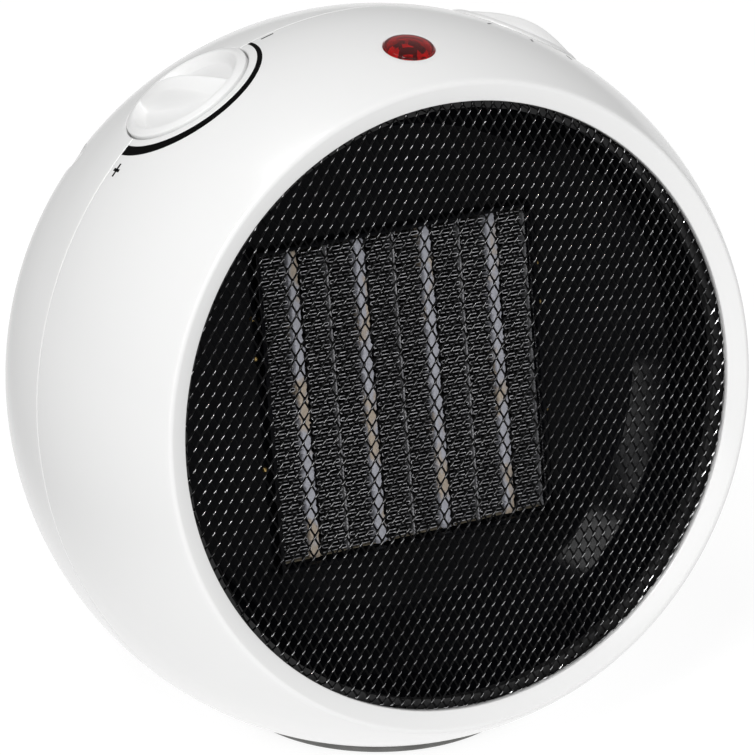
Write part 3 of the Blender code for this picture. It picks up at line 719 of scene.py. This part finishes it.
def tube_shape(middle, half, rng):
    """A flat heating tube: its front is slightly wavy and its front corners are ragged."""
    outline = fillet([(-TUBE_W / 2, CORE_FRONT, 0.7), (TUBE_W / 2, CORE_FRONT, 0.7),
                      (TUBE_W / 2, CORE_BACK, 0.7), (-TUBE_W / 2, CORE_BACK, 0.7)], 3)
    rows = np.linspace(-half, half, 130)
    waves = np.convolve(rng.normal(0, 1, 150), np.hanning(9), "same")[10:140]
    waves /= np.abs(waves).max()
    ragged = np.abs(rng.normal(0, 1, (2, len(rows)))).clip(0, 2.2)
    loops = []
    for z, w, left_tear, right_tear in zip(rows, waves, *ragged):
        pinch = 0.35 if z in (rows[0], rows[-1]) else 0.0
        loop = []
        for x, y in outline:
            wrapped = y < CORE_FRONT + 1.0
            tear = ((right_tear if x > 0 else left_tear) * 0.20 - 0.37) * wrapped
            front = 0.14 + 0.14 * w if wrapped else 0.0
            ends = pinch if y < (CORE_FRONT + CORE_BACK) / 2 else -pinch
            loop.append((middle + x * (1 - pinch * 0.15 + tear), y + front + ends, z))
        loops.append(loop)
    return loft(loops)


def fin_shape(x0, x1, half, rng, pitch=1.06, thick=0.22):
    """A strip folded to and fro between two straight walls, with small rounded folds."""
    legs = int(2 * half / pitch) - 1
    line = []
    start = -half + (2 * half - legs * pitch) / 2
    bend_r = 0.42
    for k in range(legs + 1):
        z = start + k * pitch + rng.normal(0, 0.07)
        x, inner = (x0 + 0.14, 0.32) if k % 2 == 0 else (x1 - 0.14, -0.32)
        line += [(x + inner * 1.5, z - bend_r - 0.02), (x + inner * 0.45, z - bend_r * 0.82),
                 (x, z),
                 (x + inner * 0.45, z + bend_r * 0.82), (x + inner * 1.5, z + bend_r + 0.02)]
    line = np.array(line)
    along = np.gradient(line, axis=0)
    along /= np.linalg.norm(along, axis=1, keepdims=True)
    side = np.stack([-along[:, 1], along[:, 0]], axis=1) * thick / 2
    outline = np.vstack([line + side, (line - side)[::-1]])
    count, total = len(line), 2 * len(line)
    points = np.vstack([np.stack([outline[:, 0], np.full(total, y), outline[:, 1]], axis=1)
                        for y in (CORE_FRONT + 0.45, CORE_BACK - 0.45)])
    faces = []
    for i in range(total):
        j = (i + 1) % total
        faces.append((i, j, total + j, total + i))
    for i in range(count - 1):
        face = (i, i + 1, total - 2 - i, total - 1 - i)
        faces += [face, tuple(total + n for n in face)]
    return points, faces


def plate_shape(x, half, rng):
    """A thin sheet whose front edge is pinked by the folds pressed against it."""
    rows = np.arange(-half, half + 0.01, 0.53)
    loops = []
    for i, z in enumerate(rows):
        front = CORE_FRONT + (0.0 if i % 2 else 0.35) + rng.normal(0, 0.05)
        shift = rng.normal(0, 0.05)
        loops.append([(x - 0.22 + shift, front, z), (x + 0.22 + shift, front, z),
                      (x + 0.3, front + 0.4, z), (x + 0.3, CORE_BACK, z),
                      (x - 0.3, CORE_BACK, z), (x - 0.3, front + 0.4, z)])
    return loft(loops)


# ---- controls ----
def smooth(x, low, high):
    t = np.clip((x - low) / (high - low), 0, 1)
    return t * t * (3 - 2 * t)


KNOB_RIDGE_X = -2.0  # where the knob's ridge is highest
KNOB_RIDGE_FOOT, KNOB_RIDGE_RISE = 107.0, 4.6


def knob_top(x, y):
    """Height of the knob's face: a round rim, two scooped hollows and a ridge between them.

    The ridge has a roof-shaped top on steep walls. It is narrow and steep at its -X end, and
    broadens and sinks towards +X.
    """
    r = np.hypot(x, y)
    hollow = 104.5 + 2.5 * smooth(r, 14.0, 17.2)
    u = np.clip((KNOB_RIDGE_X - x) / 16.0, 0, 1)
    v = np.clip((x + 2.5) / 20.0, 0, 1)
    sides = np.where(x < KNOB_RIDGE_X, (1 - u * u) ** 1.25, (1 - v * v) ** 1.3)
    crest = KNOB_RIDGE_FOOT + KNOB_RIDGE_RISE * sides
    off = np.abs(y)
    roof = crest - 1.0 * (np.hypot(off, 0.6) - 0.6)
    half = 2.7 + 0.07 * x
    wall = 1 - smooth(off, half, half + 2.8)
    fall = 1.1 * np.clip((r - 17.0) / 2.5, 0, 1) ** 2
    return hollow + np.maximum(roof - hollow, 0) * wall - fall


def knob_shape():
    """The face and its rounded rim, the wall, and a shell underneath with a short stem."""
    segments, rings, soft_steps, soft = 240, 80, 5, 0.5
    turn = np.arange(segments) * 2 * math.pi / segments
    cos, sin = np.cos(turn), np.sin(turn)
    edge = KNOB_R - soft
    loops = []
    for r in np.linspace(0.35, edge, rings):
        loops.append(np.stack([r * cos, r * sin, knob_top(r * cos, r * sin)], axis=1))
    rim = knob_top(edge * cos, edge * sin)
    for k in range(1, soft_steps + 1):
        a = math.pi / 2 * k / soft_steps
        r = edge + math.sin(a) * soft
        loops.append(np.stack([r * cos, r * sin, rim - (1 - math.cos(a)) * soft], axis=1))
    for r, lift in ((KNOB_R, 0.4), (KNOB_R - 0.4, 0.0), (KNOB_R - 2.0, 0.0), (KNOB_R - 2.2, 0.7),
                    (3.6, 0.7), (3.3, 0.2), (3.3, 0.9), (0.3, 0.95)):
        loops.append(np.stack([r * cos, r * sin, np.full(segments, KNOB_BASE + lift)], axis=1))
    return loft([list(map(tuple, loop)) for loop in loops])


def on_seam(angle_deg, y, lift):
    """A point on the ball, this far round from the top towards +X and this far off the seam."""
    rho = math.sqrt(BALL_R**2 - y * y)
    a = math.radians(angle_deg)
    k = (BALL_R + lift) / BALL_R
    return (k * rho * math.sin(a), k * y, k * rho * math.cos(a))


PRINT_LIFTS = (-0.04, 0.045)  # the print's underside and face, off the ball


def print_patch(grid_low, grid_high):
    """A thin closed layer between two grids of points."""
    rows, cols = len(grid_low), len(grid_low[0])
    points = np.array([p for grid in (grid_low, grid_high) for row in grid for p in row], float)
    half = rows * cols
    faces = []
    for i in range(rows - 1):
        for j in range(cols - 1):
            a = i * cols + j
            quad = (a, a + 1, a + cols + 1, a + cols)
            faces += [quad, tuple(q + half for q in quad)]
    border = list(range(cols)) + [i * cols + cols - 1 for i in range(1, rows)]
    border += [(rows - 1) * cols + j for j in range(cols - 2, -1, -1)]
    border += [i * cols for i in range(rows - 2, 0, -1)]
    for a, b in zip(border, border[1:] + border[:1]):
        faces.append((a, b, b + half, a + half))
    return points, faces


def bar_on_ball(angle_deg, y, along, across, turn_deg=0.0, steps=4):
    """A short printed bar on the ball; along runs with the seam at turn 0."""
    c, s = math.cos(math.radians(turn_deg)), math.sin(math.radians(turn_deg))
    grids = []
    for lift in PRINT_LIFTS:
        grid = []
        for i in range(steps + 1):
            row = []
            for j in (-1, 1):
                u, v = along * (i / steps - 0.5), across * j / 2
                du, dv = u * c - v * s, u * s + v * c
                row.append(on_seam(angle_deg + math.degrees(du / BALL_R), y + dv, lift))
            grid.append(row)
        grids.append(grid)
    return print_patch(*grids)


def arc_on_ball(start_deg, end_deg, inner_deg, outer_start_deg, outer_end_deg, steps=120):
    """A printed arc round a knob, widening towards its start.

    start and end are turns round the knob; the others are angles off its axis, seen from the
    ball's centre.
    """
    grids = []
    for lift in PRINT_LIFTS:
        r = BALL_R + lift
        grid = []
        for i in range(steps + 1):
            f = i / steps
            turn = math.radians(start_deg + (end_deg - start_deg) * f)
            outer = outer_start_deg + (outer_end_deg - outer_start_deg) * f
            row = []
            for rho in (inner_deg, (inner_deg + outer) / 2, outer):
                a = math.radians(rho)
                row.append((r * math.sin(a) * math.cos(turn), r * math.sin(a) * math.sin(turn),
                            r * math.cos(a)))
            grid.append(row)
        grids.append(grid)
    return print_patch(*grids)


def controls():
    shape = knob_shape()
    for knob, seat, turn, body in (
        ("thermostat_knob", KNOB_LEFT, THERMOSTAT_TURN, "thermostat_dial"),
        ("mode_knob", KNOB_RIGHT, MODE_TURN, "mode_dial"),
    ):
        place = seat @ Matrix.Rotation(math.radians(turn), 4, "Z")
        piece(knob + "_cap", shape, place, "white_knob", body=body, stands_for=(knob,), crease=40)

    dial = arc_on_ball(181, 359, 12.15, 13.9, 12.75)
    piece("dial_arc", dial, KNOB_LEFT, "print_black")
    plus = join(bar_on_ball(-46.4, -3.5, 4.3, 0.75), bar_on_ball(-46.4, -3.5, 0.95, 3.0))
    piece("dial_plus", plus, BALL, "print_black")
    minus = bar_on_ball(-14.8, -2.0, 4.0, 0.55)
    piece("dial_minus", minus, BALL, "print_black")
    # four small grey dashes on the ball round the mode knob
    dashes = []
    a = math.radians(14.0)  # the marks' angle off the knob's axis
    for turn in (222, 251, 280, 309):
        t = math.radians(turn)
        p = Vector((math.sin(a) * math.cos(t), math.sin(a) * math.sin(t), math.cos(a)))
        p = Matrix.Rotation(math.radians(KNOB_TILT), 4, "Y") @ p
        seam = math.degrees(math.atan2(p.x, p.z))
        dashes.append(bar_on_ball(seam, p.y * BALL_R, 2.6, 0.6, turn))
    piece("mode_dashes", join(*dashes), BALL, "grey_dashes")

    lens = fillet([(0, 108.7, 0), (2.5, 108.62, 0), (5.2, 108.3, 0), (LENS_R - 0.05, 107.7, 0.6),
                   (LENS_R - 0.05, 100.6, 0.2), (LENS_R - 0.9, 100.6, 0),
                   (LENS_R - 1.0, 106.9, 0.5), (3.0, 107.85, 0), (0, 107.95, 0)], 5)
    # the lens and its cup glow: painted light
    piece("lens_cap", revolve(lens, 96), LENS, "red_lens", stands_for=("indicator_lens",))
    cup = fillet([(2.6, 102.0, 0), (5.6, 102.0, 1), (5.9, 105.0, 0.3), (5.5, 105.1, 0.2),
                  (5.0, 102.8, 1), (2.6, 102.6, 0)], 3)
    piece("lens_cup", revolve(cup, 72), LENS, "red_cup_painted_glow")
    thin, thick = 0.6, 1.0
    arms = [pipe(path, radius) for radius, path in (
        (thin, [(-3.9, 1.5, 106.1), (-3.2, 1.8, 106.4), (-2.5, 2.0, 106.7)]),
        (thin, [(-0.8, 4.6, 106.2), (-1.7, 4.0, 106.5), (-2.3, 2.4, 106.8), (-2.4, -0.2, 106.6)]),
        (thick, [(-2.5, -0.6, 106.0), (-0.4, -1.3, 106.5), (1.7, -1.0, 106.2)]),
        (thick * 0.9, [(1.0, 4.2, 106.3), (2.5, 2.2, 106.6), (4.0, -0.6, 106.0)]),
        (thin, [(-2.2, -2.0, 103.0), (-2.4, -1.2, 106.2)]),
        (thin, [(2.2, 1.6, 103.0), (2.4, 2.2, 106.6)]),
    )]
    upright = LENS @ Matrix.Rotation(math.radians(-20), 4, "Z")
    piece("lamp_posts", join(*arms), upright, "lamp_dark")


# ---- foot, screws, inlet ----
def cross_recess(radius, depth, top, place):
    """Cutter for a cross drive in a screw head."""
    w, arm = radius * 0.17, radius * 0.62
    cross = [(-arm, -w), (-w, -w), (-w, -arm), (w, -arm), (w, -w), (arm, -w),
             (arm, w), (w, w), (w, arm), (-w, arm), (-w, w), (-arm, w)]
    low = [(x * 0.55, y * 0.55, top - depth) for x, y in cross]
    high = [(x * 1.02, y * 1.02, top + 0.8) for x, y in cross]
    return loft([low, high]), place


def foot():
    tip = (rod(TIP_HOLE_R, -3, 8, 40), at(TIP_XY))
    pad = fillet([(0, 0, 0), (FOOT_R - 0.9, 0, 0), (FOOT_R, 0.7, 0.5), (FOOT_R, 2.0, 0.35),
                  (0, 2.0, 0)], 4)
    obj = add_mesh("foot_pad_ring", revolve(pad, 160), LEVEL)
    grooves = [(revolve([(r, -1), (r + 1.2, -1), (r + 1.2, 0.45), (r, 0.45)], 128), LEVEL)
               for r in (37.5, 40.5)]
    carve(obj, *[(rod(SCREW_HOLE_R, -3, 6, 40), at(xy)) for xy in FOOT_SCREWS], tip, *grooves)
    dress(obj, "foot_rubber", stands_for=("foot_pad",))
    rim = FOOT_R - 0.2
    plate = fillet([(0, 2.3, 0), (rim, 2.3, 0.3), (rim, 3.9, 0.5), (0, 3.9, 0)], 4)
    obj = add_mesh("foot_plate_disc", revolve(plate, 160), LEVEL)
    carve(obj, *[(rod(SHANK_R, -3, 8, 24), at(xy)) for xy in FOOT_SCREWS], tip)
    dress(obj, "foot_grey", stands_for=("foot_plate",))


def screws():
    outline = [(0, 0.5, 0), (2.4, 0.5, 0.5), (3.2, 1.3, 0.3), (3.2, 2.0, 0.1), (1.5, 2.0, 0),
               (1.5, 11.5, 0.4), (0, 11.5, 0)]
    shape = revolve(fillet(outline, 3), 40)
    for k, xy in enumerate(FOOT_SCREWS):
        obj = add_mesh(f"foot_screw_{k + 1}_head", shape, at(xy))
        carve(obj, cross_recess(3.2, 1.0, -0.5, at(xy) @ Matrix.Rotation(math.pi, 4, "X")))
        dress(obj, "screw_steel", stands_for=(f"foot_screw_{k + 1}",))
    z = WELL_FLOOR + 0.3
    outline = [(0, -20, 0), (1.5, -20, 0.6), (1.5, z, 0), (3.6, z, 0.2), (3.6, z + 1.0, 0.6),
               (2.2, z + 2.3, 1.2), (0, z + 2.4, 0)]
    shape = revolve(fillet(outline, 4), 40)
    for k in range(4):
        place = AXIAL @ screw_place(k)
        obj = add_mesh(f"shell_screw_{k + 1}_head", shape, place)
        carve(obj, cross_recess(3.6, 1.2, z + 2.2, place @ Matrix.Rotation(0.4 * k, 4, "Z")))
        dress(obj, "screw_steel", stands_for=(f"shell_screw_{k + 1}",))


def inlet():
    """The gland at the back: a collar and three shrinking ribs."""
    outline = [(3.5, 76, 0.2), (6.0, 76, 0.2), (6.0, 95.2, 0.1), (7.6, 95.2, 0.4), (7.0, 97.4, 0.5)]
    for i in range(3):
        z = 97.9 + i * 1.35
        r = 6.3 - 0.5 * i
        outline += [(r - 0.7, z, 0.1), (r, z + 0.2, 0.15), (r - 0.1, z + 0.8, 0.15),
                    (r - 0.8, z + 0.9, 0.1)]
    outline += [(4.6, 102, 0.2), (3.5, 102, 0.3)]
    piece("cord_gland_sleeve", revolve(fillet(outline, 3), 64), GLAND, "black_plastic",
          stands_for=("cord_gland",))


# ---- fan ----
FAN_HUB_R, FAN_TIP_R, BLADES = 12.0, 54.0, 7


def blade_shape():
    """A swept, twisted blade, wider towards its tip."""
    loops = []
    for f in np.linspace(0, 1, 14):
        r = FAN_HUB_R + (FAN_TIP_R - FAN_HUB_R) * f
        pitch, swept = math.radians(48 - 24 * f**0.7), math.radians(7 * f)
        chord = (17 + 9 * f) * (1 if f < 0.9 else 1 - 1.6 * (f - 0.9))
        ring = []
        for side in (1, -1):
            for t in np.linspace(-1, 1, 9)[::side]:
                half_thick = 0.75 * math.sqrt(max(0.0, 1 - (abs(t) ** 3))) + 0.12
                u, w = t * chord / 2, 1.1 * (1 - t * t) + side * half_thick - 0.8
                y = u * math.cos(pitch) - w * math.sin(pitch)
                z = 21.5 + u * math.sin(pitch) + w * math.cos(pitch)
                ring.append((r * math.cos(swept) - y * math.sin(swept),
                             r * math.sin(swept) + y * math.cos(swept), z))
        loops.append(ring)
    return loft(loops)


def fan():
    hub = fillet([(0, 10, 0), (8.5, 10, 2), (13, 13.4, 2), (13, 32, 0.5), (11.4, 32, 0.3),
                  (11.4, 15, 1), (2.1, 14.4, 0), (2.1, 13.2, 0), (0, 13.2, 0)], 5)
    blade = blade_shape()
    blades = [moved(blade, Matrix.Rotation(2 * math.pi * k / BLADES, 4, "Z"))
              for k in range(BLADES)]
    piece("fan_wheel", join(revolve(hub, 72), *blades), AXIAL, "black_plastic", body="fan",
          stands_for=("impeller",), crease=45)


# ---- CAD nodes that stay, with better materials ----
KEPT = {  # material: nodes
    "black_plastic": ("grille_ring", "fan_shroud", "mode_switch_body", "lamp_holder",
                      "tip_switch_body"),
    "motor_steel": ("motor_bracket", "motor_body"),
    "screw_steel": ("motor_shaft",),
    "heat_plastic": ("thermal_cutout", "thermostat_body", "terminal_block"),
    "tab_brass": ("thermal_fuse",),
    "white_knob": ("thermostat_shaft", "mode_switch_shaft", "tip_switch_plunger"),
    "lamp_glass": ("indicator_lamp",),
}


def keep_nodes():
    for material, names in KEPT.items():
        for name in names:
            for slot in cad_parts[name].material_slots:
                slot.material = M[material]


# ---- stage, camera, lights ----
FLOOR_GLOW = 0.87
FADE_START, FADE_END = 0.115, 0.24  # metres from the ball's foot
FLOOR_FADES = (  # level direction, and the share of the glow left at its far end
    ((-0.9171, 0.3986, 0.0), 0.48),
    ((0.8301, -0.5576, 0.0), 0.86),
)
FLOOR_HALF, FLOOR_DROP = 6, 0.05 * MM  # the drop keeps it clear of the foot's underside
WORLD_GLOW = 0.40
VIEW_RIGHT, VIEW_DOWN = 28.69, 22.51  # where the camera points, degrees
CAMERA_DISTANCE, CAMERA_LENS = 1.206, 198.3  # metres and mm
AIM_BELOW_CENTRE = 0.0008
LIGHTS = (  # name, place, width, height, power
    ("key", (-1.8, -1.8, 3.0), 1.0, 1.0, 59.0),
    ("front", (-0.6, -2.5, 1.2), 1.6, 1.6, 10.5),
    ("top", (-0.5, 0.1, 1.8), 0.6, 0.6, 6.0),
    ("left_strip", (-1.4, -1.13, 0.62), 0.10, 1.25, 4.6),
)
LIGHTS_AIM = Vector((0, 0, 0.1))


def shade_floor(material):
    """Fade the floor's glow to grey on both sides, so the ball's sides keep their shading."""
    nodes, links = material.node_tree.nodes, material.node_tree.links
    place = nodes.new("ShaderNodeTexCoord")
    glow = None
    for direction, level in FLOOR_FADES:
        across = nodes.new("ShaderNodeVectorMath")
        across.operation = "DOT_PRODUCT"
        across.inputs[1].default_value = direction
        links.new(place.outputs["Object"], across.inputs[0])
        fade = nodes.new("ShaderNodeMapRange")
        fade.interpolation_type = "SMOOTHSTEP"
        for key, value in (("From Min", FADE_START), ("From Max", FADE_END), ("To Min", 1.0),
                           ("To Max", level)):
            fade.inputs[key].default_value = value
        links.new(across.outputs["Value"], fade.inputs["Value"])
        times = nodes.new("ShaderNodeMath")
        times.operation = "MULTIPLY"
        times.inputs[0].default_value = FLOOR_GLOW
        if glow:
            links.new(glow, times.inputs[0])
        links.new(fade.outputs["Result"], times.inputs[1])
        glow = times.outputs["Value"]
    links.new(glow, nodes["Principled BSDF"].inputs["Emission Strength"])


def add_floor():
    material = finish("studio_floor", (0.16, 0.16, 0.16), 0.9, other=(0.158, 0.158, 0.158),
                      patch=400, grain=3, bump=0.0, glow=((1, 1, 1), FLOOR_GLOW))
    shade_floor(material)
    mesh = bpy.data.meshes.new("studio_floor")
    corners = [(x * FLOOR_HALF, y * FLOOR_HALF, -FLOOR_DROP)
               for x, y in ((-1, -1), (1, -1), (1, 1), (-1, 1))]
    mesh.from_pydata(corners, [], [(0, 1, 2, 3)])
    floor = bpy.data.objects.new("studio_floor", mesh)
    bpy.context.scene.collection.objects.link(floor)
    mesh.materials.append(material)


def add_camera():
    scene = bpy.context.scene
    az, el = math.radians(VIEW_RIGHT), math.radians(VIEW_DOWN)
    look = Vector((math.sin(az) * math.cos(el), math.cos(az) * math.cos(el), -math.sin(el)))
    turn = look.to_track_quat("-Z", "Y")
    aim = Vector((0, 0, CENTRE_Z * MM)) - turn @ Vector((0, AIM_BELOW_CENTRE, 0))
    camera = bpy.data.objects.new("camera", bpy.data.cameras.new("camera"))
    camera.location = aim - look * CAMERA_DISTANCE
    camera.rotation_euler = turn.to_euler()
    camera.data.sensor_width = 36.0
    camera.data.lens = CAMERA_LENS
    camera.data.clip_start, camera.data.clip_end = 0.05, 30
    scene.collection.objects.link(camera)
    scene.camera = camera


def add_lights():
    scene = bpy.context.scene
    world = bpy.data.worlds.new("studio")
    world.use_nodes = True
    background = world.node_tree.nodes["Background"]
    background.inputs["Color"].default_value = (1, 1, 1, 1)
    background.inputs["Strength"].default_value = WORLD_GLOW
    scene.world = world
    for name, place, width, height, power in LIGHTS:
        light = bpy.data.lights.new(name, "AREA")
        light.shape = "RECTANGLE"
        light.size, light.size_y = width, height
        light.energy = power
        lamp = bpy.data.objects.new(name, light)
        lamp.location = place
        lamp.rotation_euler = (LIGHTS_AIM - Vector(place)).to_track_quat("-Z", "Y").to_euler()
        scene.collection.objects.link(lamp)
    scene.view_settings.view_transform = "Standard"
    scene.view_settings.look = "None"
    scene.view_settings.exposure = 0.0
    scene.view_settings.gamma = 1.0


add_floor()
add_camera()
add_lights()
shells()
front_mesh()
dish()
heating_element()
controls()
foot()
screws()
inlet()
fan()
keep_nodes()
